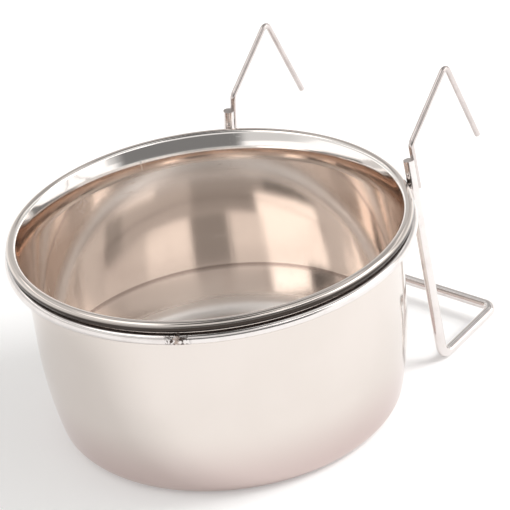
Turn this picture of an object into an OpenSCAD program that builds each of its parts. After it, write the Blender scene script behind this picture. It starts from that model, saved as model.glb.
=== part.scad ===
// Seed cup for a cage: a deep-drawn steel cup that drops into a wire holder.
// The holder is a closed ring, a bent brace with its back bar, and two V hooks, all welded.
// Origin: centre of the cup's base. +Z is up and +Y points to the cage. Millimetres.

/* [Cup] */
// Outer diameter of the rolled rim
rim_d = 120; // [100:1:150]
// Height of the cup over its rim
cup_h = 62.5; // [50:0.5:80]
// How far the rim stands out past the wall
rim_overhang = 4.4; // [4:0.1:6]
// Diameter of the rolled rim's section
bead_d = 3.2; // [2.8:0.1:3.8]
// Thickness of the drawn sheet
sheet = 0.6; // [0.4:0.05:0.8]
// How far the lower wall draws in before it meets the base's corner
draw_in = 3; // [1:0.1:6]
// Outer radius where the wall turns into the base
corner_r = 4.8; // [3:0.1:6]
// Height at which the straight wall starts to draw in
draw_in_z = 33; // [24:0.5:40]
// Radius of the soft bell mouth from the wall up to the rim, on the inner skin
flare_r = 18; // [8:0.5:24]
// Lean of the bell mouth where it meets the rolled rim, in degrees from upright
flare_tilt = 22; // [16:1:30]
// Turn of the sheet round the rolled rim, in degrees
curl_turn = 284; // [240:1:290]

/* [Holder] */
// Wire diameter of the ring and the brace
wire_d = 3.3; // [2.8:0.1:4]
// Gap between the cup's wall and the ring
ring_play = 1.95; // [1.2:0.05:2.4]
// Gap between the rolled rim and the ring that it rests on
seat_gap = 0.25; // [0.15:0.05:0.4]
// How deep two welded wires sink into each other
weld_sink = 0.25; // [0.1:0.05:0.5]

/* [Brace] */
// Distance between the two leg tops
leg_span = 71.2; // [56:0.2:84]
// Distance between the two feet
foot_span = 85.4; // [60:0.2:96]
// How far the cut leg tops stand above the rim
leg_rise = 4.8; // [2:0.2:8]
// How far the back bar stands behind the legs
bar_reach = 27.4; // [16:0.2:36]
// How much higher the back bar lies than the feet
bar_rise = 3.4; // [1:0.1:8]
// Bend radius of the feet, at the middle of the wire
foot_bend_r = 3.2; // [2.6:0.1:6]
// Bend radius of the back bar's corners, at the middle of the wire
bar_bend_r = 3.2; // [2.6:0.1:6]
// Chamfer on the cut leg tops
cut_chamfer = 0.4; // [0.2:0.05:0.8]

/* [Hooks] */
// Wire diameter of the hooks
hook_wire_d = 1.8; // [1.6:0.1:2.6]
// Length of hook wire welded along each leg
hook_lap = 10; // [6:0.5:16]
// Rise of the hook above the leg top before it leans back
hook_stem = 4.2; // [2:0.1:8]
// Height of the V's corner above the lean's start
hook_rise = 17.9; // [10:0.1:24]
// How far the V's corner stands behind the lean's start
hook_reach = 19; // [14:0.1:30]
// Drop from the V's corner to the hook's tip
tip_drop = 29.1; // [18:0.1:36]
// How far the tip stands behind the V's corner
tip_reach = 13.5; // [6:0.5:18]
// Bend radius of the V's corner, at the middle of the wire
hook_bend_r = 1.8; // [1.5:0.1:3]
// Bend radius where the hook starts to lean, at the middle of the wire
stem_bend_r = 3; // [2.4:0.1:5]

/* [Hidden] */

steel_light = [0.86, 0.84, 0.82];
steel_wire = [0.78, 0.78, 0.79];
round_steps = 96;
wire_steps = 32;
arc_step_angle = 9;
bend_step_angle = 7;
end_step_angle = 18;
wire_sides = 24;
hook_sides = 18;
// Rough direction, across no run of the wires, that the first of a tube's sides faces
first_side = [1, 0.3, 0.2];

// Cup, measured to the middle of the sheet where a name ends in _mid
rim_r = rim_d / 2;
wall_r = rim_r - rim_overhang;
base_r = wall_r - draw_in - corner_r;
half_sheet = sheet / 2;
bead_r = bead_d / 2;
bead_mid_r = bead_r - half_sheet;
bead_at = [rim_r - bead_r, cup_h - bead_r];
wall_mid_r = wall_r - half_sheet;
corner_mid_r = corner_r - half_sheet;
draw_in_w = draw_in + corner_r;
draw_in_h = draw_in_z - corner_r;
// Radius of the arc that meets the straight wall and the corner without a crease
lower_r = (draw_in_w ^ 2 + draw_in_h ^ 2 - corner_r ^ 2) / (2 * draw_in);
lower_mid_r = lower_r - half_sheet;
lower_at = [wall_r - lower_r, draw_in_z];
corner_at = [base_r, corner_r];
corner_end = atan2(corner_at[1] - lower_at[1], corner_at[0] - lower_at[0]);
// The flare leaves the wall, leans outwards and meets the rolled rim in line
curl_from = 180 - flare_tilt;
curl_start = bead_at + bead_mid_r * [cos(curl_from), sin(curl_from)];
flare_room = (curl_start[0] - wall_mid_r) / (1 - cos(flare_tilt));
flare_mid_r = min(flare_r - half_sheet, flare_room);
flare_out = curl_start[0] - wall_mid_r - flare_mid_r * (1 - cos(flare_tilt));
flare_z = curl_start[1] - flare_mid_r * sin(flare_tilt) - flare_out / tan(flare_tilt);
flare_at = [wall_mid_r + flare_mid_r, flare_z];

// Holder
wire_r = wire_d / 2;
hook_wire_r = hook_wire_d / 2;
ring_r = wall_r + ring_play + wire_r;
seat_span = bead_r + wire_r + seat_gap;
ring_z = bead_at[1] - sqrt(seat_span ^ 2 - (ring_r - bead_at[0]) ^ 2);
leg_ring_r = ring_r + wire_d - weld_sink;
leg_top_z = cup_h + leg_rise;
leg_top_x = leg_span / 2;
foot_x = foot_span / 2;
// Height of the feet's corner point that sets their lowest round on the table
leg_run_guess = unit([foot_x - leg_top_x, 0, wire_r - leg_top_z]);
foot_run = unit([0, bar_reach, bar_rise]);
foot_z = wire_r - bend_low(leg_run_guess, foot_run, foot_bend_r);
leg_ring_x = leg_x(ring_z);
leg_y = sqrt(leg_ring_r ^ 2 - leg_ring_x ^ 2);
bar_y = leg_y + bar_reach;
bar_z = foot_z + bar_rise;
hook_y = leg_y + wire_r + hook_wire_r - weld_sink;
lean_z = leg_top_z + hook_stem;
lap_z = leg_top_z - hook_lap;
vee_y = hook_y + hook_reach;
vee_z = lean_z + hook_rise;
tip_y = vee_y + tip_reach;
tip_z = vee_z - tip_drop;

function unit(v) = v / norm(v);

// Half the distance between the legs at a height
function leg_x(z) = foot_x + (leg_top_x - foot_x) * (z - foot_z) / (leg_top_z - foot_z);

// Length of run that a bend takes from each side of its corner point
function bend_run(run_in, run_out, r) = r * tan(acos(run_in * run_out) / 2);

// Direction across run_in, on the side that the bend turns to
function bend_side(run_in, run_out) = unit(run_out - (run_in * run_out) * run_in);

// Centre of a bend, from its corner point
function bend_centre(run_in, run_out, r) =
    r * bend_side(run_in, run_out) - bend_run(run_in, run_out, r) * run_in;

// Lowest height of a bend's middle line, from its corner point
function bend_low(run_in, run_out, r) =
    bend_centre(run_in, run_out, r)[2]
    - r * sqrt(1 - unit(cross(run_in, run_out))[2] ^ 2);

// Points of an arc, from one angle to another
function arc_points(at, r, from, to) =
    let (steps = ceil(abs(to - from) / arc_step_angle))
    [for (i = [0 : steps])
        let (a = from + (to - from) * i / steps)
        at + r * [cos(a), sin(a)]];

// One side of the sheet, off the middle line by the given offset to the outside
function sheet_side(off) = concat(
    [[0, half_sheet - off]],
    arc_points(corner_at, corner_mid_r + off, -90, corner_end),
    arc_points(lower_at, lower_mid_r + off, corner_end, 0),
    arc_points(flare_at, flare_mid_r - off, 180, curl_from),
    arc_points(bead_at, bead_mid_r - off, curl_from, curl_from - curl_turn));

// Whole section of the cup: down the outside and back up the inside
function cup_section() =
    let (inner = sheet_side(-half_sheet))
    concat(sheet_side(half_sheet), [for (i = [len(inner) - 1 : -1 : 0]) inner[i]]);

// Places along a bend, each with its point, direction and radius
function bend_places(corner, run_in, run_out, bend_r, r) =
    let (side = bend_side(run_in, run_out),
        centre = corner + bend_centre(run_in, run_out, bend_r),
        turn = acos(run_in * run_out),
        steps = ceil(turn / bend_step_angle))
    [for (i = [0 : steps])
        let (a = turn * i / steps)
        [centre + bend_r * (sin(a) * run_in - cos(a) * side), cos(a) * run_in + sin(a) * side, r]];

// Places of a wire through corner points, with one bend radius for each inner point
function wire_places(points, bend_rs, r) =
    let (last = len(points) - 1,
        runs = [for (i = [0 : last - 1]) unit(points[i + 1] - points[i])])
    concat(
        [[points[0], runs[0], r]],
        [for (i = [1 : last - 1])
            each bend_places(points[i], runs[i - 1], runs[i], bend_rs[i - 1], r)],
        [[points[last], runs[last - 1], r]]);

// Places that round off a cut end, from the wire's side out to the tip
function round_end(at, run, r) =
    [for (a = [end_step_angle : end_step_angle : 90 - end_step_angle])
        [at + r * sin(a) * run, run, r * cos(a)]];

// Same places with the order and the directions turned round
function reversed(places) =
    [for (i = [len(places) - 1 : -1 : 0]) [places[i][0], -places[i][1], places[i][2]]];

// Direction across a run, as near as can be to the given one
function across(guess, run) = unit(guess - (guess * run) * run);

// Skins a round tube over a list of places, closed at both ends
module tube(places, sides) {
    last = len(places) - 1;
    starts = [for (i = 0, u = across(first_side, places[0][1]);
        i <= last;
        i = i + 1, u = i <= last ? across(u, places[i][1]) : u) u];
    points = [for (i = [0 : last])
        let (v = cross(places[i][1], starts[i]))
        for (k = [0 : sides - 1])
            let (a = 360 * k / sides)
            places[i][0] + places[i][2] * (cos(a) * starts[i] + sin(a) * v)];
    skin = [for (i = [0 : last - 1], k = [0 : sides - 1])
        let (a = i * sides + k, b = i * sides + (k + 1) % sides)
        each [[a, a + sides, b], [b, a + sides, b + sides]]];
    first_cap = [for (k = [1 : sides - 2]) [0, k, k + 1]];
    end = last * sides;
    last_cap = [for (k = [1 : sides - 2]) [end, end + k + 1, end + k]];
    polyhedron(points, concat(skin, first_cap, last_cap));
}

// Drawn cup with its flared wall and rolled rim, one sheet throughout
module cup() {
    color(steel_light)
        rotate_extrude($fn = round_steps)
            polygon(cup_section());
}

// Closed ring that the rolled rim rests on
module ring() {
    color(steel_wire)
        translate([0, 0, ring_z])
            rotate_extrude($fn = round_steps)
                translate([ring_r, 0])
                    circle(r = wire_r, $fn = wire_steps);
}

// One wire: down a leg, back along the table, across the bar and up the other leg
module brace() {
    half = [[leg_top_x, leg_y, leg_top_z - cut_chamfer], [foot_x, leg_y, foot_z], [foot_x, bar_y, bar_z]];
    other_half = [for (i = [2 : -1 : 0]) [-half[i][0], half[i][1], half[i][2]]];
    places = wire_places(
        concat(half, other_half), [foot_bend_r, bar_bend_r, bar_bend_r, foot_bend_r], wire_r);
    last = places[len(places) - 1];
    first_run = places[0][1];
    color(steel_wire)
        tube(concat(
            [[places[0][0] - cut_chamfer * first_run, first_run, wire_r - cut_chamfer]],
            places,
            [[last[0] + cut_chamfer * last[1], last[1], wire_r - cut_chamfer]]), wire_sides);
}

// One V hook, on the side given by 1 or -1
module hook(side) {
    lap = [side * leg_x(lap_z), hook_y, lap_z];
    lean = [side * leg_x(lean_z), hook_y, lean_z];
    vee = [lean[0], vee_y, vee_z];
    tip = [lean[0], tip_y, tip_z];
    places = wire_places([lap, lean, vee, tip], [stem_bend_r, hook_bend_r], hook_wire_r);
    color(steel_wire)
        tube(concat(
            reversed(round_end(lap, unit(lap - lean), hook_wire_r)),
            places,
            round_end(tip, unit(tip - vee), hook_wire_r)), hook_sides);
}

module hook_left() {
    hook(-1);
}

module hook_right() {
    hook(1);
}

cup();
ring();
brace();
hook_left();
hook_right();
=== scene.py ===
"""Dresses a seed cup for a cage: a drawn steel cup that rests in a welded wire holder with two hooks.

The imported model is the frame, in metres: the origin is the centre of the cup's base, +Z is up and
+Y points to the cage. The cup, the ring, the brace and the hooks are modelled again here with the
finer forms of drawn sheet and bent wire, and each stands for the plain solid of its name.
"""

import logging
import math
from dataclasses import dataclass, field
from enum import Enum

import bmesh
import bpy
from mathutils import Matrix, Vector

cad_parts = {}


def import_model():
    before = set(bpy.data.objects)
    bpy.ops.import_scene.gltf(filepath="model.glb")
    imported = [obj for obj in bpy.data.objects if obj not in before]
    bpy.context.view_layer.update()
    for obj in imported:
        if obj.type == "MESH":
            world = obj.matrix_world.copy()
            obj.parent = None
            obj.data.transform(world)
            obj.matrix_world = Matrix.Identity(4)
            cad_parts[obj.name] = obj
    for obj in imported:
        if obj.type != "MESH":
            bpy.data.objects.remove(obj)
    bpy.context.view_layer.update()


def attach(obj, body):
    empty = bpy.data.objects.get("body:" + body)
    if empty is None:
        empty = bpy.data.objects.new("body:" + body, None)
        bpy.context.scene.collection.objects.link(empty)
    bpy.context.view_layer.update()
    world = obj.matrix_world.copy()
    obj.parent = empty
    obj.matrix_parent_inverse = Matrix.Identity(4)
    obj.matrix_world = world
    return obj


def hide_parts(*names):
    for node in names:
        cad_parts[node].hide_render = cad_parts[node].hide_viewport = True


LOG = logging.getLogger("seed_cup")
MM = 0.001
FULL_TURN = 2 * math.pi
HALF_TURN_DEG = 180.0
ZENITH_DEG = 90.0
DEG_PER_RAD = 180.0 / math.pi
SHARP_DEG = 40.0
MERGE_DISTANCE = 1e-6
# The cup's inside mirrors itself many times over, and fewer bounces would turn it black there
LIGHT_BOUNCES = 16
MIRROR_BOUNCES = 14
Point = tuple[float, float, float]
Colour = tuple[float, float, float]
Span = tuple[float, float]
Section = list[tuple[float, float]]


class Side(Enum):
    """Which of a pair of like pieces is meant, by the sign of its X."""

    LEFT = -1
    RIGHT = 1


class Body(Enum):
    """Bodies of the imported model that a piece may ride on."""

    CUP = "cup"
    HOLDER = "holder"


class Slot(Enum):
    """Material slots of the record."""

    CUP = "cup_steel"
    WIRE = "wire_steel"


# Shader graphs


@dataclass(frozen=True)
class Grain:
    """Size and kind of a noise.

    The cut holds the two values between which the noise is sharpened into spots. The stretch multiplies
    the place where the noise is read.
    """

    scale: float
    detail: float = 2.0
    rough: float = 0.5
    warp: float = 0.0
    cut: Span = (0.0, 1.0)
    stretch: Point = (1.0, 1.0, 1.0)


@dataclass(frozen=True)
class Signal:
    """One output socket of a shader graph, with arithmetic that adds Math nodes."""

    graph: "Graph"
    socket: bpy.types.NodeSocket

    def _math(self, operation: str, *values: "Signal | float") -> "Signal":
        """Adds one Math node on the given values."""
        settings = {"operation": operation}
        return self.graph.node("ShaderNodeMath", settings, dict(enumerate(values)))

    def __add__(self, other: "Signal | float") -> "Signal":
        """Sum of two values."""
        return self._math("ADD", self, other)

    def __radd__(self, other: float) -> "Signal":
        """Sum of a number and a value."""
        return self._math("ADD", other, self)

    def __sub__(self, other: "Signal | float") -> "Signal":
        """Difference of two values."""
        return self._math("SUBTRACT", self, other)

    def __rsub__(self, other: float) -> "Signal":
        """Difference of a number and a value."""
        return self._math("SUBTRACT", other, self)

    def __mul__(self, other: "Signal | float") -> "Signal":
        """Product of two values."""
        return self._math("MULTIPLY", self, other)

    def __truediv__(self, other: "Signal | float") -> "Signal":
        """Quotient of two values."""
        return self._math("DIVIDE", self, other)

    def __pow__(self, other: "Signal | float") -> "Signal":
        """Power of a value."""
        return self._math("POWER", self, other)

    def angle_with(self, other: "Signal") -> "Signal":
        """Angle of the point (other, self), in radians."""
        return self._math("ARCTAN2", self, other)

    def above(self) -> "Signal":
        """Value where it is above 0, else 0."""
        return self._math("MAXIMUM", self, 0.0)

    def arcsine(self) -> "Signal":
        """Angle with this sine, in radians."""
        return self._math("ARCSINE", self)

    def arccosine(self) -> "Signal":
        """Angle with this cosine, in radians."""
        return self._math("ARCCOSINE", self)

    def ramp(self, low: float, high: float) -> "Signal":
        """Smooth step from 0 at low to 1 at high.

        Args:
            low: value up to which the step is 0.
            high: value from which it is 1.

        Returns:
            The step.
        """
        settings = {"interpolation_type": "SMOOTHSTEP", "clamp": True}
        inputs = {"Value": self, "From Min": low, "From Max": high}
        return self.graph.node("ShaderNodeMapRange", settings, inputs)

    def edge(self, at: float, soft: float) -> "Signal":
        """Smooth step from 0 to 1 about a value.

        Args:
            at: the value in the middle of the step.
            soft: how far the step reaches to either side.

        Returns:
            The step.
        """
        return (self + soft).ramp(at, at + 2 * soft)

    def between(self, first: float, second: float) -> "Signal":
        """Number between two others, by this value's place from 0 to 1.

        Args:
            first: what 0 becomes.
            second: what 1 becomes.

        Returns:
            The number.
        """
        return self * (second - first) + first

    def clamped(self) -> "Signal":
        """Value kept between 0 and 1."""
        return self.graph.node("ShaderNodeClamp", {}, {"Value": self})


class Graph:
    """Node graph of one material, or of the world."""

    def __init__(
        self, owner: bpy.types.Material | bpy.types.World, output: str = "ShaderNodeOutputMaterial"
    ) -> None:
        """Empties the graph and adds its output node.

        Args:
            owner: the material or world that the graph belongs to.
            output: type of the output node.
        """
        owner.use_nodes = True
        self.owner = owner
        self.tree = owner.node_tree
        self.tree.nodes.clear()
        self.output = self.tree.nodes.new(output)

    @classmethod
    def named(cls, name: str) -> "Graph":
        """Graph of a new material."""
        return cls(bpy.data.materials.new(name))

    def node(self, kind: str, settings: dict, inputs: dict, out: int | str = 0) -> Signal:
        """Adds a node.

        Args:
            kind: the node's type.
            settings: properties that are set first.
            inputs: values or signals of its sockets, by name or number.
            out: the output that is wanted, by name or number.

        Returns:
            The wanted output.
        """
        made = self.tree.nodes.new(kind)
        for name, value in settings.items():
            setattr(made, name, value)
        for name, value in inputs.items():
            if isinstance(value, Signal):
                self.tree.links.new(value.socket, made.inputs[name])
            else:
                made.inputs[name].default_value = value
        return Signal(self, made.outputs[out])

    def place(self) -> Signal:
        """Object coordinates of the shaded point, in metres."""
        return self.node("ShaderNodeTexCoord", {}, {}, "Object")

    def parts(self, vector: Signal) -> tuple[Signal, Signal, Signal]:
        """The three numbers of a vector."""
        first = self.node("ShaderNodeSeparateXYZ", {}, {0: vector})
        outs = first.socket.node.outputs
        return first, Signal(self, outs[1]), Signal(self, outs[2])

    def vector(self, x: Signal | float, y: Signal | float, z: Signal | float) -> Signal:
        """A vector from three numbers."""
        return self.node("ShaderNodeCombineXYZ", {}, {0: x, 1: y, 2: z})

    def distance(self, first: Signal, second: Signal | Point) -> Signal:
        """How far two points are apart."""
        return self.node("ShaderNodeVectorMath", {"operation": "DISTANCE"}, {0: first, 1: second}, "Value")

    def noise(self, at: Signal, grain: Grain) -> Signal:
        """Soft noise from 0 to 1.

        Args:
            at: where the noise is read.
            grain: its size and kind.

        Returns:
            The noise value.
        """
        if grain.stretch != (1.0, 1.0, 1.0):
            at = self.node("ShaderNodeVectorMath", {"operation": "MULTIPLY"}, {0: at, 1: grain.stretch})
        size = {"Vector": at, "Scale": grain.scale, "Distortion": grain.warp}
        layers = {"Detail": grain.detail, "Roughness": grain.rough}
        return self.node("ShaderNodeTexNoise", {}, size | layers)

    def spots(self, at: Signal, grain: Grain) -> Signal:
        """Noise that is sharpened by its cut.

        Args:
            at: where the noise is read.
            grain: its size and kind.

        Returns:
            The mask, from 0 to 1.
        """
        return self.noise(at, grain).ramp(*grain.cut)

    def mix(self, share: Signal | float, first: Signal | Colour, second: Signal | Colour) -> Signal:
        """Mix of two colours.

        Args:
            share: how much of the second is taken.
            first: colour at 0.
            second: colour at 1.

        Returns:
            The mixed colour.
        """
        first, second = (c if isinstance(c, Signal) else (*c, 1.0) for c in (first, second))
        settings = {"data_type": "RGBA", "blend_type": "MIX"}
        return self.node("ShaderNodeMix", settings, {"Factor": share, 6: first, 7: second}, 2)

    def bump(
        self, height: Signal, distance: float, strength: float = 1.0, under: Signal | None = None
    ) -> Signal:
        """Normal of a height map.

        Args:
            height: height from 0 to 1.
            distance: what a height of 1 stands for, in metres.
            strength: share of the effect.
            under: normal that this one is laid over.

        Returns:
            The bent normal.
        """
        inputs = {"Height": height, "Distance": distance, "Strength": strength}
        if under is not None:
            inputs["Normal"] = under
        return self.node("ShaderNodeBump", {}, inputs)

    def surface(self, inputs: dict) -> bpy.types.Material:
        """Ends the graph in a Principled surface.

        Args:
            inputs: values or signals of the surface's sockets.

        Returns:
            The finished material.
        """
        shader = self.node("ShaderNodeBsdfPrincipled", {}, inputs)
        self.tree.links.new(shader.socket, self.output.inputs["Surface"])
        return self.owner

    def steel(self, colour: Signal, rough: Signal, normal: Signal) -> bpy.types.Material:
        """Ends the graph in a metal surface.

        Args:
            colour: colour of what the steel mirrors.
            rough: its roughness.
            normal: its bent normal.

        Returns:
            The finished material.
        """
        return self.surface({"Base Color": colour, "Metallic": 1.0, "Roughness": rough, "Normal": normal})


# Finishes


@dataclass(frozen=True)
class SheetZones:
    """Masks of the drawn sheet's zones, from 0 to 1."""

    inside: Signal
    # Painted highlight on the upper inside
    belt: Signal
    # Painted shade on the outside towards the base
    low: Signal
    # Painted shade in the crevice under the rolled bead
    bead_shade: Signal
    # Painted dark reflection line round the inside
    line: Signal
    # Painted highlight, and dullness, in the base's corner
    corner: Signal


@dataclass(frozen=True)
class DrawnSheetFinish:
    """Polished drawn stainless sheet.

    It is warm in tone, with turned polishing lines, drawing streaks, faint swells and fine scratches.
    Painted shade darkens the crevice under the rolled bead and the outside towards the base, a painted
    dark reflection line runs round the inside, the inside is painted brighter than the outside, and a
    painted highlight brightens the upper inside and the corner of the base, which is dull. Heights and
    radii are in metres and follow the cup's section. A pair is where a zone starts and where it is full,
    or what a noise of 0 and of 1 stands for.
    """

    name: str = "drawn_sheet_steel"
    tint: Colour = (0.765, 0.705, 0.665)
    worn_tint: Colour = (0.72, 0.66, 0.615)
    # Painted highlight: a lighter tint on the upper inside and in the base's corner
    painted_highlight_tint: Colour = (0.965, 0.93, 0.905)
    # The inside is painted brighter than the outside with its own lighter tint, varied by the cloud noise
    painted_inside_light_tint: Colour = (0.865, 0.80, 0.755)
    # Painted shade: the outside darkens towards the base
    painted_low_shade_tint: Colour = (0.62, 0.52, 0.495)
    # Painted shade: a near-black band in the crevice under the rolled bead
    painted_bead_shade_tint: Colour = (0.05, 0.04, 0.035)
    # Painted reflection: a dark line round the inside, low on the wall
    painted_reflection_line_tint: Colour = (0.44, 0.375, 0.35)
    cloud_cover: float = 0.5
    scratch_cover: float = 0.4
    # Share of the painted highlight in the base's corner
    corner_cover: float = 0.6
    inner_cover: Span = (0.7, 1.3)
    low_cover: Span = (0.75, 1.25)
    line_cover: Span = (0.6, 1.1)
    bead_shade_cover: Span = (0.84, 1.14)
    roughness: Span = (0.06, 0.11)
    corner_roughness: Span = (0.27, 0.52)
    scratch_roughness: float = 0.12
    bead_shade_roughness: float = 0.15
    swell_depth: float = 0.00005
    streak_depth: float = 0.00001
    polish_depth: float = 0.0000005
    scratch_depth: float = 0.000003
    streak_share: Span = (0.2, 1.0)
    cloud: Grain = Grain(34.0, 3.0, cut=(0.35, 0.7))
    haze: Grain = Grain(260.0, 4.0, 0.55, stretch=(0.12, 1.0, 1.0))
    marks: Grain = Grain(1500.0, 1.0, 0.4, 0.3, (0.71, 0.74), (1.4, 0.11, 0.4))
    strokes: Grain = Grain(1900.0, 1.0, 0.4, 0.2, (0.735, 0.76), (0.09, 1.3, 1.0))
    scratched: Grain = Grain(90.0, cut=(0.52, 0.66))
    nicks: Grain = Grain(620.0, 3.0, 0.6, 1.6, (0.55, 0.6))
    swells: Grain = Grain(26.0, 1.0, 0.4)
    streaks: Grain = Grain(460.0, 3.0, 0.6, stretch=(1.0, 0.07, 0.02))
    polish: Grain = Grain(5200.0, 3.0, 0.6, stretch=(1.0, 1.0, 0.02))
    knocked: tuple[tuple[Point, float], ...] = (
        ((-0.0550, 0.0002, 0.0527), 0.0045),
        ((0.0474, -0.0222, 0.0034), 0.0022),
        ((0.0473, -0.0289, 0.0273), 0.0018),
    )
    # The section's middle line
    wrap_r: float = 0.055
    wall_r: float = 0.0553
    flare_from: float = 0.0533
    flare_r: float = 0.0177
    lower_from: float = 0.033
    lower_r: float = 0.1388
    corner_r: float = 0.0048
    half_sheet: float = 0.0003
    # Where the zones begin and end
    skin: Span = (-0.0001, 0.0001)
    base_top: Span = (0.0002, 0.0004)
    # Heights of the painted highlight on the upper inside
    belt_z: Span = (0.042, 0.05)
    # Heights over which the painted shade on the outside fades out upwards
    low_z: Span = (0.003, 0.024)
    # Where the shade under the bead is painted
    crevice_r: Span = (0.0574, 0.0578)
    crevice_z: Span = (0.0611, 0.0619)
    # Height of the painted dark reflection line, and its spread below that height
    reflection_line_z: float = 0.0166
    line_start: Span = (0.0, 0.0002)
    line_end: Span = (0.0005, 0.0022)
    # Where the corner's painted highlight and dullness lie
    corner_z: Span = (0.003, 0.0072)
    corner_edge: Span = (0.0474, 0.0486)

    def _inside(self, radius: Signal, z: Signal) -> Signal:
        """1 on the sheet's inner side and 0 on its outer side.

        Args:
            radius: distance from the cup's axis, in metres.
            z: height, in metres.

        Returns:
            The mask.
        """
        flare = (z - self.flare_from).above()
        corner = (self.corner_r - z).above()
        lower = (self.lower_from - z).above() - corner
        bend_r = self.corner_r - self.half_sheet
        middle = self.wall_r + flare * flare / (2 * self.flare_r) - lower * lower / (2 * self.lower_r)
        middle = middle - bend_r + (bend_r * bend_r - corner * corner).above() ** 0.5
        return (1 - (radius - middle).ramp(*self.skin)) * z.ramp(*self.base_top)

    def _zones(self, radius: Signal, z: Signal) -> SheetZones:
        """Where each zone of the sheet is.

        Args:
            radius: distance from the cup's axis, in metres.
            z: height, in metres.

        Returns:
            The zones' masks.
        """
        inside = self._inside(radius, z)
        below = self.reflection_line_z - z
        # Most zones mark painted light: highlight on the upper inside and in the corner, shade outside
        # towards the base and under the bead, and a dark reflection line
        return SheetZones(
            inside=inside,
            belt=inside * z.ramp(*self.belt_z),
            low=(1 - inside) * (1 - z.ramp(*self.low_z)),
            bead_shade=radius.ramp(*self.crevice_r) * (1 - z.ramp(*self.crevice_z)),
            line=inside * below.ramp(*self.line_start) * (1 - below.ramp(*self.line_end)),
            corner=inside * (1 - z.ramp(*self.corner_z)) * radius.ramp(*self.corner_edge),
        )

    def _scratches(self, g: Graph, place: Signal, wrapped: Signal) -> Signal:
        """Fine upright and level scratches in patches, and scuffs where the cup was knocked.

        Args:
            g: the material's graph.
            place: the shaded point, in metres.
            wrapped: the same as way round the wall, height and radius.

        Returns:
            The mask, from 0 to 1.
        """
        scratches = (g.spots(wrapped, self.marks) + g.spots(wrapped, self.strokes)).clamped()
        nicks = g.spots(place, self.nicks)
        scuffs = 0.0
        for at, size in self.knocked:
            scuffs = (1 - g.distance(place, at).ramp(size * 0.5, size)) * nicks + scuffs
        return (scratches * g.spots(wrapped, self.scratched) + scuffs.clamped()).clamped()

    def _colour(
        self, g: Graph, zones: SheetZones, cloud: Signal, haze: Signal, scratches: Signal
    ) -> Signal:
        """Colour of the steel, zone over zone.

        Args:
            g: the material's graph.
            zones: the sheet's zones.
            cloud: broad unevenness, from 0 to 1.
            haze: fine unevenness that is drawn out round the cup, from 0 to 1.
            scratches: where the sheet is scratched.

        Returns:
            The colour.
        """
        worn = cloud.ramp(*self.cloud.cut) * self.cloud_cover + scratches * self.scratch_cover
        # Painted highlight on the upper inside and in the base's corner
        painted_highlight = (zones.belt + zones.corner * self.corner_cover).clamped()
        colour = g.mix(worn, self.tint, self.worn_tint)
        # The inside painted brighter than the outside
        colour = g.mix(zones.inside * cloud.between(*self.inner_cover).clamped(), colour, self.painted_inside_light_tint)
        # Painted shade on the outside towards the base
        colour = g.mix(zones.low * cloud.between(*self.low_cover).clamped(), colour, self.painted_low_shade_tint)
        colour = g.mix(painted_highlight, colour, self.painted_highlight_tint)
        # Painted dark reflection line round the inside
        colour = g.mix(zones.line * haze.between(*self.line_cover).clamped(), colour, self.painted_reflection_line_tint)
        # Painted shade in the crevice under the rolled bead
        return g.mix(zones.bead_shade * haze.between(*self.bead_shade_cover).clamped(), colour, self.painted_bead_shade_tint)

    def make(self) -> bpy.types.Material:
        """Builds the material."""
        g = Graph.named(self.name)
        place = g.place()
        x, y, z = g.parts(place)
        radius = (x * x + y * y) ** 0.5
        around = y.angle_with(x) * self.wrap_r
        wrapped = g.vector(around, z, radius)
        zones = self._zones(radius, z)
        cloud = g.noise(place, self.cloud)
        haze = g.noise(wrapped, self.haze)
        scratches = self._scratches(g, place, wrapped)
        rough = haze.between(*self.roughness) + scratches * self.scratch_roughness
        # Rougher where the shade under the bead is painted
        rough = rough + zones.bead_shade * self.bead_shade_roughness
        rough = rough + zones.corner * haze.between(*self.corner_roughness)
        streaks = g.noise(g.vector(around, z, zones.inside), self.streaks)
        streaks = streaks * zones.inside.between(*self.streak_share)
        polish = g.noise(g.vector(radius, z, around), self.polish)
        normal = g.bump(g.noise(place, self.swells), self.swell_depth)
        normal = g.bump(streaks, self.streak_depth, under=normal)
        normal = g.bump(polish, self.polish_depth, under=normal)
        normal = g.bump(scratches, self.scratch_depth, under=normal)
        return g.steel(self._colour(g, zones, cloud, haze, scratches), rough, normal)


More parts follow.
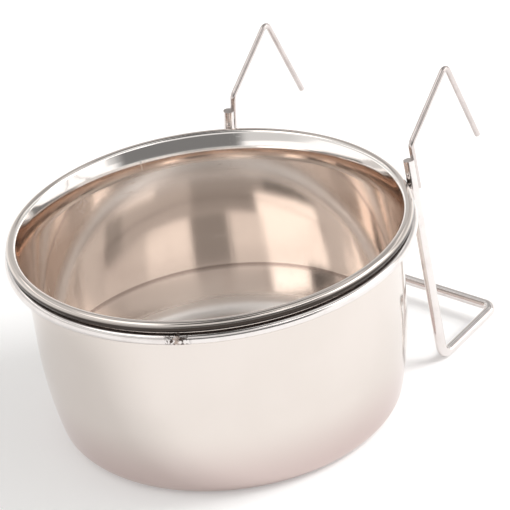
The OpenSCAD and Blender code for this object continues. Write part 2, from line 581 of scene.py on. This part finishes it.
@dataclass(frozen=True)
class WireFinish:
    """Bright drawn wire: cooler than the sheet, with drawing marks and small pits.

    Dark speckles burn it round one point, as beside a weld. By default that point is far away.
    """

    name: str = "bright_wire_steel"
    tint: Colour = (0.82, 0.78, 0.765)
    worn_tint: Colour = (0.70, 0.65, 0.63)
    burn_tint: Colour = (0.09, 0.07, 0.062)
    cloud_cover: float = 0.5
    speck_cover: float = 0.3
    roughness: Span = (0.08, 0.16)
    speck_roughness: float = 0.1
    burn_roughness: float = 0.2
    swell_depth: float = 0.000016
    pit_depth: float = 0.000004
    cloud: Grain = Grain(180.0, 3.0, 0.55, cut=(0.45, 0.75))
    specks: Grain = Grain(900.0, cut=(0.66, 0.72))
    burns: Grain = Grain(1300.0, 3.0, 0.65, cut=(0.47, 0.56))
    swells: Grain = Grain(320.0, 1.0)
    pits: Grain = Grain(2600.0)
    burn_at: Point = (0.0, 0.0, -1.0)
    burn_reach: Span = (0.00253, 0.0046)

    def make(self) -> bpy.types.Material:
        """Builds the material."""
        g = Graph.named(self.name)
        place = g.place()
        near = 1 - g.distance(place, self.burn_at).ramp(*self.burn_reach)
        burn = g.spots(place, self.burns) * near
        cloud = g.noise(place, self.cloud)
        specks = g.spots(place, self.specks)
        worn = cloud.ramp(*self.cloud.cut) * self.cloud_cover + specks * self.speck_cover
        colour = g.mix(burn, g.mix(worn, self.tint, self.worn_tint), self.burn_tint)
        rough = cloud.between(*self.roughness) + specks * self.speck_roughness + burn * self.burn_roughness
        normal = g.bump(g.noise(place, self.swells), self.swell_depth)
        normal = g.bump(g.noise(place, self.pits), self.pit_depth, under=normal)
        return g.steel(colour, rough, normal)


@dataclass(frozen=True)
class FineWireFinish(WireFinish):
    """Thin hook wire: duller and greyer than the heavy wire."""

    name: str = "fine_wire_steel"
    tint: Colour = (0.66, 0.605, 0.59)
    worn_tint: Colour = (0.52, 0.47, 0.455)
    roughness: Span = (0.14, 0.22)
    swell_depth: float = 0.000024
    pit_depth: float = 0.000006


@dataclass(frozen=True)
class WeldFinish:
    """Spot weld: pitted metal with a faint straw and grey heat tint."""

    name: str = "weld_steel"
    tint: Colour = (0.66, 0.60, 0.57)
    heat_tint: Colour = (0.42, 0.34, 0.30)
    roughness: Span = (0.16, 0.36)
    grain_depth: float = 0.00003
    cloud: Grain = Grain(420.0, 3.0, 0.6, cut=(0.4, 0.7))
    grains: Grain = Grain(1900.0, 3.0, 0.6)

    def make(self) -> bpy.types.Material:
        """Builds the material."""
        g = Graph.named(self.name)
        place = g.place()
        cloud = g.noise(place, self.cloud)
        colour = g.mix(cloud.ramp(*self.cloud.cut), self.tint, self.heat_tint)
        normal = g.bump(g.noise(place, self.grains), self.grain_depth)
        return g.steel(colour, cloud.between(*self.roughness), normal)


@dataclass(frozen=True)
class CutEndFinish:
    """Sheared wire end: duller metal with parallel shear lines."""

    name: str = "cut_wire_steel"
    tint: Colour = (0.62, 0.57, 0.55)
    dark_tint: Colour = (0.44, 0.40, 0.385)
    roughness: Span = (0.24, 0.44)
    shear_depth: float = 0.00002
    shear: Grain = Grain(2600.0, 2.0, 0.6, cut=(0.35, 0.65), stretch=(3.0, 0.25, 0.6))

    def make(self) -> bpy.types.Material:
        """Builds the material."""
        g = Graph.named(self.name)
        shear = g.noise(g.place(), self.shear)
        colour = g.mix(shear.ramp(*self.shear.cut), self.tint, self.dark_tint)
        return g.steel(colour, shear.between(*self.roughness), g.bump(shear, self.shear_depth))


@dataclass(frozen=True)
class FloorFinish:
    """Pale studio paper on a light table, with a very faint tooth."""

    name: str = "studio_paper"
    tint: Colour = (0.86, 0.86, 0.86)
    second_tint: Colour = (0.84, 0.84, 0.84)
    glow: float = 0.24
    roughness: Span = (0.85, 0.95)
    tooth_depth: float = 0.00005
    tooth_strength: float = 0.3
    tooth: Grain = Grain(900.0, 3.0, 0.6)
    cloud: Grain = Grain(3.0)

    def make(self) -> bpy.types.Material:
        """Builds the material."""
        g = Graph.named(self.name)
        place = g.place()
        tooth = g.noise(place, self.tooth)
        inputs = {
            "Base Color": g.mix(g.noise(place, self.cloud), self.tint, self.second_tint),
            "Roughness": tooth.between(*self.roughness),
            "Normal": g.bump(tooth, self.tooth_depth, self.tooth_strength),
            "Emission Color": (*self.tint, 1.0),
            "Emission Strength": self.glow,
        }
        return g.surface(inputs)


# Modelling


def clear_selection() -> None:
    """Leaves edit mode and deselects everything."""
    if bpy.context.object is not None and bpy.context.object.mode != "OBJECT":
        bpy.ops.object.mode_set(mode="OBJECT")
    bpy.ops.object.select_all(action="DESELECT")


def finish_piece(
    piece: bpy.types.Object, name: str, finish: bpy.types.Material, sharp_deg: float = SHARP_DEG
) -> bpy.types.Object:
    """Merges doubles, turns the faces outwards, smooths and places a piece's object at the origin.

    Args:
        piece: the modelled object.
        name: the piece's name.
        finish: the material of all its faces.
        sharp_deg: edges above this angle stay sharp, in degrees.

    Returns:
        The piece.
    """
    clear_selection()
    piece.select_set(True)
    bpy.context.view_layer.objects.active = piece
    bpy.ops.object.transform_apply(location=True, rotation=True, scale=True)
    bpy.ops.object.mode_set(mode="EDIT")
    bpy.ops.mesh.select_all(action="SELECT")
    bpy.ops.mesh.remove_doubles(threshold=MERGE_DISTANCE)
    bpy.ops.mesh.normals_make_consistent(inside=False)
    bpy.ops.object.mode_set(mode="OBJECT")
    bpy.ops.object.shade_smooth_by_angle(angle=math.radians(sharp_deg))
    piece.name = name
    piece.data.name = name
    piece.data.materials.append(finish)
    clear_selection()
    return piece


def turn_section(section: Section, steps: int) -> bpy.types.Object:
    """Turns an open section round the Z axis.

    Args:
        section: points as (radius, height), in metres, from one end to the other.
        steps: number of steps in the full turn.

    Returns:
        The turned object.
    """
    clear_selection()
    bpy.ops.mesh.primitive_plane_add(size=MM, location=(section[0][0], 0, section[0][1]))
    piece = bpy.context.object
    bpy.ops.object.transform_apply(location=True, rotation=True, scale=True)
    bpy.ops.object.mode_set(mode="EDIT")
    bpy.ops.mesh.select_all(action="SELECT")
    bpy.ops.mesh.merge(type="CENTER")
    for (r0, z0), (r1, z1) in zip(section, section[1:]):
        bpy.ops.mesh.extrude_vertices_move(TRANSFORM_OT_translate={"value": (r1 - r0, 0, z1 - z0)})
    bpy.ops.mesh.select_all(action="SELECT")
    bpy.ops.mesh.spin(steps=steps, angle=FULL_TURN, center=(0, 0, 0), axis=(0, 0, 1))
    bpy.ops.object.mode_set(mode="OBJECT")
    return piece


@dataclass(frozen=True)
class WireRun:
    """A round wire through corner points, with a bend at each inner corner, in metres."""

    points: tuple[Point, ...]
    bends: tuple[float, ...]
    radius: float
    sides: int
    bend_step_deg: float = 4.0
    chamfer_steps: int = 3

    def _bend(self, index: int) -> tuple[Vector, Vector, float, float]:
        """Centre, axis, angle and straight length taken by a bend.

        Args:
            index: which inner corner, from 1.

        Returns:
            The bend's centre, its axis, its angle and the run it takes from each side.
        """
        before, corner, after = (Vector(self.points[index + k]) for k in (-1, 0, 1))
        run_in, run_out = (corner - before).normalized(), (after - corner).normalized()
        angle = run_in.angle(run_out)
        taken = self.bends[index - 1] * math.tan(angle / 2)
        side = (run_out - run_in.dot(run_out) * run_in).normalized()
        centre = corner - taken * run_in + self.bends[index - 1] * side
        return centre, run_in.cross(run_out).normalized(), angle, taken

    def build(self, chamfer: float) -> bpy.types.Object:
        """Extrudes and spins the wire's end disc along the run.

        Args:
            chamfer: size of the bevel on both cut ends.

        Returns:
            The wire's object.
        """
        clear_selection()
        start, second = Vector(self.points[0]), Vector(self.points[1])
        direction = (second - start).normalized()
        bpy.ops.mesh.primitive_circle_add(vertices=self.sides, radius=self.radius, fill_type="NGON")
        piece = bpy.context.object
        turn = direction.to_track_quat("Z", "Y").to_matrix().to_4x4()
        piece.matrix_world = Matrix.Translation(start) @ turn
        bpy.ops.object.transform_apply(location=True, rotation=True, scale=True)
        bpy.ops.object.mode_set(mode="EDIT")
        bpy.ops.mesh.select_all(action="SELECT")
        taken_before = 0.0
        for i in range(1, len(self.points)):
            here, there = Vector(self.points[i - 1]), Vector(self.points[i])
            last = i == len(self.points) - 1
            centre, axis, angle, taken = (None, None, 0.0, 0.0) if last else self._bend(i)
            length = (there - here).length - taken_before - taken
            move = (there - here).normalized() * length
            bpy.ops.mesh.extrude_region_move(TRANSFORM_OT_translate={"value": tuple(move)})
            if not last:
                steps = math.ceil(math.degrees(angle) / self.bend_step_deg)
                bpy.ops.mesh.spin(steps=steps, angle=angle, center=tuple(centre), axis=tuple(-axis))
            taken_before = taken
        self._chamfer_ends(piece, chamfer)
        bpy.ops.object.mode_set(mode="OBJECT")
        return piece

    def _chamfer_ends(self, piece: bpy.types.Object, size: float) -> None:
        """Bevels the rims of both end discs.

        Args:
            piece: the wire, in edit mode.
            size: width of the bevel.
        """
        mesh = bmesh.from_edit_mesh(piece.data)
        for face in mesh.faces:
            face.select_set(len(face.verts) == self.sides)
        mesh.select_flush_mode()
        bmesh.update_edit_mesh(piece.data)
        bpy.ops.mesh.select_mode(type="EDGE")
        bpy.ops.mesh.region_to_loop()
        bpy.ops.mesh.bevel(offset=size, segments=self.chamfer_steps, profile=0.5, affect="EDGES")
        bpy.ops.mesh.select_mode(type="VERT")


# Sub-assemblies


@dataclass
class DrawnCup:
    """Deep-drawn cup, one sheet throughout, in millimetres and degrees.

    From the axis out it has a flat base, a drawn-in lower wall, a straight wall, a flare and a rolled rim.
    """

    finish: bpy.types.Material
    rim_d: float = 120.0
    height: float = 62.5
    rim_overhang: float = 4.4
    bead_d: float = 3.2
    sheet: float = 0.6
    draw_in: float = 3.0
    corner_r: float = 4.8
    draw_in_z: float = 33.0
    flare_r: float = 18.0
    flare_tilt: float = 22.0
    curl_turn: float = 284.0
    base_rings: int = 24
    arc_step: float = 3.0
    long_arc_r: float = 6.0
    long_arc_step: float = 0.75
    round_steps: int = 256
    pieces: list[bpy.types.Object] = field(default_factory=list)

    def _arc(self, at: tuple[float, float], r: float, start: float, end: float) -> Section:
        """Points of an arc.

        Args:
            at: the arc's centre.
            r: its radius.
            start: first angle, in degrees.
            end: last angle, in degrees.

        Returns:
            The points, in millimetres.
        """
        step = self.arc_step if r < self.long_arc_r else self.long_arc_step
        steps = max(1, math.ceil(abs(end - start) / step))
        turns = (math.radians(start + (end - start) * i / steps) for i in range(steps + 1))
        return [(at[0] + r * math.cos(t), at[1] + r * math.sin(t)) for t in turns]

    def _skin(self, off: float) -> Section:
        """One side of the sheet, from the axis out over the rim.

        Args:
            off: distance outwards from the sheet's middle, in millimetres.

        Returns:
            The points, in millimetres.
        """
        half = self.sheet / 2
        wall_r = self.rim_d / 2 - self.rim_overhang
        base_r = wall_r - self.draw_in - self.corner_r
        # The lower wall's arc is upright where it meets the wall and touches the corner's arc
        width, rise = self.draw_in + self.corner_r, self.draw_in_z - self.corner_r
        lower_r = (width**2 + rise**2 - self.corner_r**2) / (2 * self.draw_in)
        lower_at = (wall_r - lower_r, self.draw_in_z)
        corner_at = (base_r, self.corner_r)
        meet = math.degrees(math.atan2(corner_at[1] - lower_at[1], corner_at[0] - lower_at[0]))
        # The flare's arc leaves the wall upright and runs into the bead's arc
        bead_r = self.bead_d / 2
        bead_at = (self.rim_d / 2 - bead_r, self.height - bead_r)
        curl_from = 180 - self.flare_tilt
        tilt = math.radians(self.flare_tilt)
        start_r = bead_at[0] - (bead_r - half) * math.cos(tilt)
        start_z = bead_at[1] + (bead_r - half) * math.sin(tilt)
        flare_room = (start_r - (wall_r - half)) / (1 - math.cos(tilt))
        flare_r = min(self.flare_r - half, flare_room)
        flare_out = start_r - (wall_r - half) - flare_r * (1 - math.cos(tilt))
        flare_z = start_z - flare_r * math.sin(tilt) - flare_out / math.tan(tilt)
        flare_at = (wall_r - half + flare_r, flare_z)
        return (
            [(base_r * k / self.base_rings, half - off) for k in range(self.base_rings)]
            + self._arc(corner_at, self.corner_r - half + off, -90, meet)
            + self._arc(lower_at, lower_r - half + off, meet, 0)[1:]
            + self._arc(flare_at, flare_r - off, 180, curl_from)
            + self._arc(bead_at, bead_r - half - off, curl_from, curl_from - self.curl_turn)
        )

    def build(self) -> None:
        """Turns the sheet's section and names the cup."""
        half = self.sheet / 2
        section = self._skin(half) + self._skin(-half)[::-1]
        shell = turn_section([(r * MM, z * MM) for r, z in section], self.round_steps)
        cup = finish_piece(shell, "cup_shell", self.finish)
        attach(cup, Body.CUP.value)
        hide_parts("cup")
        self.pieces.append(cup)


@dataclass
class WireHolder:
    """Welded wire holder: closed ring, bent brace with its back bar, and two V hooks, in millimetres.

    Points are on the wires' middle lines on the right side, and the left side mirrors them.
    """

    finish: bpy.types.Material
    fine: bpy.types.Material
    weld: bpy.types.Material
    cut: bpy.types.Material
    wire_d: float = 3.3
    ring_r: float = 59.2
    ring_z: float = 57.4927
    leg_top: Point = (35.6, 50.3146, 67.3)
    foot: Point = (42.7, 50.3146, 1.2288)
    bar: Point = (42.7, 77.7146, 4.6288)
    foot_bend: float = 3.2
    bar_bend: float = 3.2
    cut_chamfer: float = 0.4
    hook_d: float = 1.8
    hook_lap: Point = (36.6746, 52.6146, 57.3)
    hook_lean: Point = (35.1487, 52.6146, 71.5)
    hook_vee: Point = (35.1487, 71.6146, 89.4)
    hook_tip: Point = (35.1487, 85.1146, 60.3)
    stem_bend: float = 3.0
    vee_bend: float = 1.8
    hook_chamfer: float = 0.54
    wire_sides: int = 40
    hook_sides: int = 28
    ring_steps: int = 256
    ring_joint_deg: float = -57.0
    ring_weld_length: float = 3.2
    ring_weld_rise: float = 0.06
    leg_weld: Point = (0.75, 1.15, 1.2)
    lap_weld: Point = (0.85, 0.6, 1.3)
    lap_weld_z: tuple[float, ...] = (60.0, 64.6)
    weld_sink: float = 0.1
    weld_lump: float = 0.22
    weld_segments: int = 48
    weld_rings: int = 32
    weld_smoothing: float = 0.5
    weld_smoothings: int = 3
    weld_sharp_deg: float = 60.0
    leg_weld_seed: int = 3
    lap_weld_seed: int = 11
    ring_weld_seed: int = 29
    pieces: list[bpy.types.Object] = field(default_factory=list)

    def _keep(self, piece: bpy.types.Object, node: str | None = None) -> None:
        """Puts a piece on the holder's body and notes what it stands for.

        Args:
            piece: the finished piece.
            node: the plain solid that it replaces, if any.
        """
        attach(piece, Body.HOLDER.value)
        if node:
            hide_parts(node)
        self.pieces.append(piece)

    def _mirrored(self, point: Point, side: Side) -> Point:
        """A point of the right side on the given side.

        Args:
            point: the point, in millimetres.
            side: the side that is wanted.

        Returns:
            The point, in metres.
        """
        return (side.value * point[0] * MM, point[1] * MM, point[2] * MM)

    def _ring_joint(self) -> Point:
        """Middle of the ring's own joint, in millimetres."""
        turn = math.radians(self.ring_joint_deg)
        return (self.ring_r * math.cos(turn), self.ring_r * math.sin(turn), self.ring_z)

    def _dress_ends(self, piece: bpy.types.Object) -> None:
        """Gives a wire's two cut discs, its only faces with more than four corners, the sheared finish."""
        cut_index = len(piece.data.materials)
        piece.data.materials.append(self.cut)
        for face in piece.data.polygons:
            if len(face.vertices) > 4:
                face.material_index = cut_index

    def _weld(self, name: str, at: Point, size: Point, turn_deg: float, seed: int) -> None:
        """Models one weld: a lumpy bead that runs out into the wires it joins.

        Args:
            name: the piece's name.
            at: its centre, in millimetres.
            size: its half lengths outwards, across and upwards, in millimetres.
            turn_deg: turn of its outward axis from +X, in degrees.
            seed: number of its own random lumps.
        """
        clear_selection()
        bpy.ops.mesh.primitive_uv_sphere_add(
            segments=self.weld_segments, ring_count=self.weld_rings, radius=MM
        )
        bead = bpy.context.object
        bead.scale = size
        bead.rotation_euler = (0, 0, math.radians(turn_deg))
        bead.location = tuple(c * MM for c in at)
        bpy.ops.object.transform_apply(location=True, rotation=True, scale=True)
        bpy.ops.object.mode_set(mode="EDIT")
        bpy.ops.mesh.select_all(action="SELECT")
        bpy.ops.transform.vertex_random(offset=self.weld_lump * MM, uniform=0.0, normal=1.0, seed=seed)
        bpy.ops.mesh.vertices_smooth(factor=self.weld_smoothing, repeat=self.weld_smoothings)
        bpy.ops.object.mode_set(mode="OBJECT")
        self._keep(finish_piece(bead, name, self.weld, self.weld_sharp_deg))

    def _weld_leg(self, side: Side) -> None:
        """Welds a leg to the ring at the height where it crosses it."""
        share = (self.leg_top[2] - self.ring_z) / (self.leg_top[2] - self.foot[2])
        leg_x = self.leg_top[0] + (self.foot[0] - self.leg_top[0]) * share
        reach = math.hypot(leg_x, self.leg_top[1])
        touch = (self.ring_r + self.wire_d / 2 - self.weld_sink) / reach
        at = (side.value * leg_x * touch, self.leg_top[1] * touch, self.ring_z)
        turn = math.degrees(math.atan2(at[1], at[0]))
        name = f"leg_weld_{side.name.lower()}"
        self._weld(name, at, self.leg_weld, turn, self.leg_weld_seed + side.value)

    def _weld_laps(self, side: Side) -> None:
        """Welds a hook's stem to the back of its leg in each spot."""
        for i, height in enumerate(self.lap_weld_z):
            share = (height - self.hook_lap[2]) / (self.hook_lean[2] - self.hook_lap[2])
            x = self.hook_lap[0] + (self.hook_lean[0] - self.hook_lap[0]) * share
            at = (side.value * x, self.leg_top[1] + self.wire_d / 2 - self.weld_sink, height)
            name = f"lap_weld_{side.name.lower()}_{i}"
            self._weld(name, at, self.lap_weld, 0.0, self.lap_weld_seed + 2 * i + side.value)

    def build_welds(self) -> None:
        """Welds the legs to the ring, the hooks to the legs and the ring's own joint."""
        for side in Side:
            self._weld_leg(side)
            self._weld_laps(side)
        half = self.wire_d / 2 + self.ring_weld_rise
        size = (half, self.ring_weld_length, half)
        self._weld("ring_joint", self._ring_joint(), size, self.ring_joint_deg, self.ring_weld_seed)

    def build_ring(self) -> None:
        """Models the ring as a closed round of wire."""
        clear_selection()
        bpy.ops.mesh.primitive_torus_add(
            location=(0, 0, self.ring_z * MM),
            major_radius=self.ring_r * MM,
            minor_radius=self.wire_d / 2 * MM,
            major_segments=self.ring_steps,
            minor_segments=self.wire_sides,
        )
        joint = tuple(c * MM for c in self._ring_joint())
        finish = WireFinish(name="ring_wire_steel", burn_at=joint).make()
        self._keep(finish_piece(bpy.context.object, "holder_ring", finish), "ring")

    def build_brace(self) -> None:
        """Models the brace: down a leg, back, across the bar and up the other leg."""
        right = [self._mirrored(p, Side.RIGHT) for p in (self.leg_top, self.foot, self.bar)]
        left = [self._mirrored(p, Side.LEFT) for p in (self.bar, self.foot, self.leg_top)]
        bends = tuple(b * MM for b in (self.foot_bend, self.bar_bend, self.bar_bend, self.foot_bend))
        run = WireRun(tuple(right + left), bends, self.wire_d / 2 * MM, self.wire_sides)
        piece = finish_piece(run.build(self.cut_chamfer * MM), "brace_wire", self.finish)
        self._dress_ends(piece)
        self._keep(piece, "brace")

    def build_hook(self, side: Side) -> None:
        """Models one V hook.

        Args:
            side: which of the two.
        """
        corners = (self.hook_lap, self.hook_lean, self.hook_vee, self.hook_tip)
        points = tuple(self._mirrored(p, side) for p in corners)
        bends = (self.stem_bend * MM, self.vee_bend * MM)
        run = WireRun(points, bends, self.hook_d / 2 * MM, self.hook_sides)
        name = side.name.lower()
        piece = finish_piece(run.build(self.hook_chamfer * MM), f"hook_wire_{name}", self.fine)
        self._dress_ends(piece)
        self._keep(piece, f"hook_{name}")


@dataclass(frozen=True)
class SoftBox:
    """A soft patch of studio light, by its directions as seen from the cup, in degrees.

    The azimuth counts from the camera, and is positive to the picture's right.
    """

    azimuth: float
    half_width: float
    low: float
    high: float
    light: float
    soft: float = 2.0
    side_soft: float = 6.0

    def mask(self, across: tuple[Signal, Signal], elevation: Signal, facing: float) -> Signal:
        """Where the patch is, from 0 to 1.

        Args:
            across: the level direction's two numbers, of length 1.
            elevation: angle above the horizon, in degrees.
            facing: the camera's azimuth, from which azimuths count.

        Returns:
            The mask.
        """
        mask = elevation.edge(self.low, self.soft)
        if self.high < ZENITH_DEG:
            mask = mask * (1 - elevation.edge(self.high, self.soft))
        if self.half_width < HALF_TURN_DEG:
            turn = math.radians(facing + self.azimuth)
            off = (across[0] * math.cos(turn) + across[1] * math.sin(turn)).arccosine() * DEG_PER_RAD
            mask = mask * (1 - off.edge(self.half_width, self.side_soft))
        return mask


@dataclass
class Studio:
    """Pale floor, soft light and the photograph's viewpoint, in metres.

    Each patch of light lies over those before it. Their places follow from the photo's reflections.
    """

    camera_at: Point = (0.40117, -0.39748, 0.35958)
    forward: Point = (-0.60868, 0.62949, -0.48296)
    right: Point = (0.75467, 0.64724, -0.10751)
    lens_mm: float = 154.19
    sensor_mm: float = 36.0
    clip: Span = (0.01, 100.0)
    sky: float = 1.15
    sky_tint: Colour = (1.0, 0.985, 0.965)
    patches: tuple[SoftBox, ...] = (
        # Bands all round, from the top down
        SoftBox(0, 180, 50, 90, 0.8),
        SoftBox(0, 180, 36, 49.5, 0.46, 1.0),
        SoftBox(0, 180, 30.7, 35.8, 1.0, 0.35),
        SoftBox(0, 180, 12, 30.5, 0.66, 0.5),
        # On the right
        SoftBox(85, 25, 12, 30.4, 2.1, 0.5),
        SoftBox(72, 44, 30.7, 42.9, 1.85, 0.35),
        SoftBox(65, 35, 43.4, 50, 0.15, 0.8),
        SoftBox(132, 20, 30.7, 35.8, 1.2, 0.35),
        # Behind the cup and on the left
        SoftBox(-177, 26, 30.7, 35.8, 0.37, 0.35),
        SoftBox(-125, 30, 30.9, 35.5, 1.45, 0.5),
        SoftBox(-110, 50, 37, 50, 0.7, 1.5),
        SoftBox(-75, 35, 46.5, 72, 1.6),
        SoftBox(-110, 50, 12, 30.3, 0.76, 0.5),
        # In front and overhead, with one small bright patch
        SoftBox(-2, 28, 31, 55, 0.85, 1.0),
        SoftBox(12, 38, 3, 27.0, 0.2, 1.0, 5.0),
        SoftBox(40, 18, 22, 30.9, 0.1, 0.3),
        SoftBox(0, 52, 57, 90, 0.12, 3.0),
        SoftBox(171, 56, 58, 90, 0.17, 3.0),
        SoftBox(35, 12, 49, 55, 2.4, 1.0),
    )
    key_azimuth: float = 95.0
    key_rise: float = 37.0
    key_far: float = 1.6
    key_size: float = 0.7
    key_watts: float = 17.5
    floor_size: float = 8.0
    floor_z: float = -0.0001

    def build_floor(self) -> None:
        """Adds the floor."""
        clear_selection()
        bpy.ops.mesh.primitive_plane_add(size=self.floor_size, location=(0, 0, self.floor_z))
        floor = bpy.context.object
        floor.name = "studio_floor"
        floor.data.materials.append(FloorFinish().make())

    def build_light(self) -> None:
        """Lights the scene with a soft sky of overlapping patches."""
        world = bpy.data.worlds.new("soft_studio")
        g = Graph(world, "ShaderNodeOutputWorld")
        x, y, z = g.parts(g.node("ShaderNodeTexCoord", {}, {}, "Generated"))
        level = (x * x + y * y) ** 0.5
        elevation = z.arcsine() * DEG_PER_RAD
        facing = math.degrees(math.atan2(self.camera_at[1], self.camera_at[0]))
        light = self.sky
        for patch in self.patches:
            mask = patch.mask((x / level, y / level), elevation, facing)
            light = mask * patch.light + (1 - mask) * light
        inputs = {"Color": (*self.sky_tint, 1.0), "Strength": light}
        background = g.node("ShaderNodeBackground", {}, inputs)
        g.tree.links.new(background.socket, g.output.inputs["Surface"])
        bpy.context.scene.world = world
        self._build_key(math.radians(facing + self.key_azimuth), math.radians(self.key_rise))

    def _build_key(self, azimuth: float, rise: float) -> None:
        """Adds the soft key light, which the polished steel doesn't mirror.

        Args:
            azimuth: level direction to the light, in radians.
            rise: its angle above the floor, in radians.
        """
        level = math.cos(rise)
        toward = Vector((math.cos(azimuth) * level, math.sin(azimuth) * level, math.sin(rise)))
        bpy.ops.object.light_add(type="AREA", location=tuple(toward * self.key_far))
        key = bpy.context.object
        key.name = "key_light"
        key.rotation_euler = toward.to_track_quat("Z", "Y").to_euler()
        key.data.size = self.key_size
        key.data.energy = self.key_watts
        key.visible_glossy = False

    def build_camera(self) -> None:
        """Places the camera where the photograph was taken from."""
        bpy.ops.object.camera_add()
        camera = bpy.context.object
        camera.name = "photo_camera"
        forward, right = Vector(self.forward).normalized(), Vector(self.right).normalized()
        up = right.cross(forward).normalized()
        turn = Matrix((right, up, -forward)).transposed()
        camera.matrix_world = Matrix.Translation(self.camera_at) @ turn.to_4x4()
        camera.data.lens = self.lens_mm
        camera.data.sensor_width = self.sensor_mm
        camera.data.clip_start, camera.data.clip_end = self.clip
        bpy.context.scene.camera = camera


def main() -> None:
    """Builds the pieces in order and reports each."""
    logging.basicConfig(level=logging.INFO, format="%(name)s: %(message)s")
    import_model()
    bpy.context.scene.view_settings.view_transform = "Standard"
    bpy.context.scene.cycles.max_bounces = LIGHT_BOUNCES
    bpy.context.scene.cycles.glossy_bounces = MIRROR_BOUNCES
    studio = Studio()
    studio.build_floor()
    studio.build_light()
    studio.build_camera()
    cup = DrawnCup(DrawnSheetFinish().make())
    cup.build()
    holder = WireHolder(
        finish=WireFinish().make(),
        fine=FineWireFinish().make(),
        weld=WeldFinish().make(),
        cut=CutEndFinish().make(),
    )
    holder.build_ring()
    holder.build_brace()
    for side in Side:
        holder.build_hook(side)
    holder.build_welds()
    for piece in cup.pieces + holder.pieces:
        LOG.info("%s: %d faces", piece.name, len(piece.data.polygons))


if __name__ == "__main__":
    main()
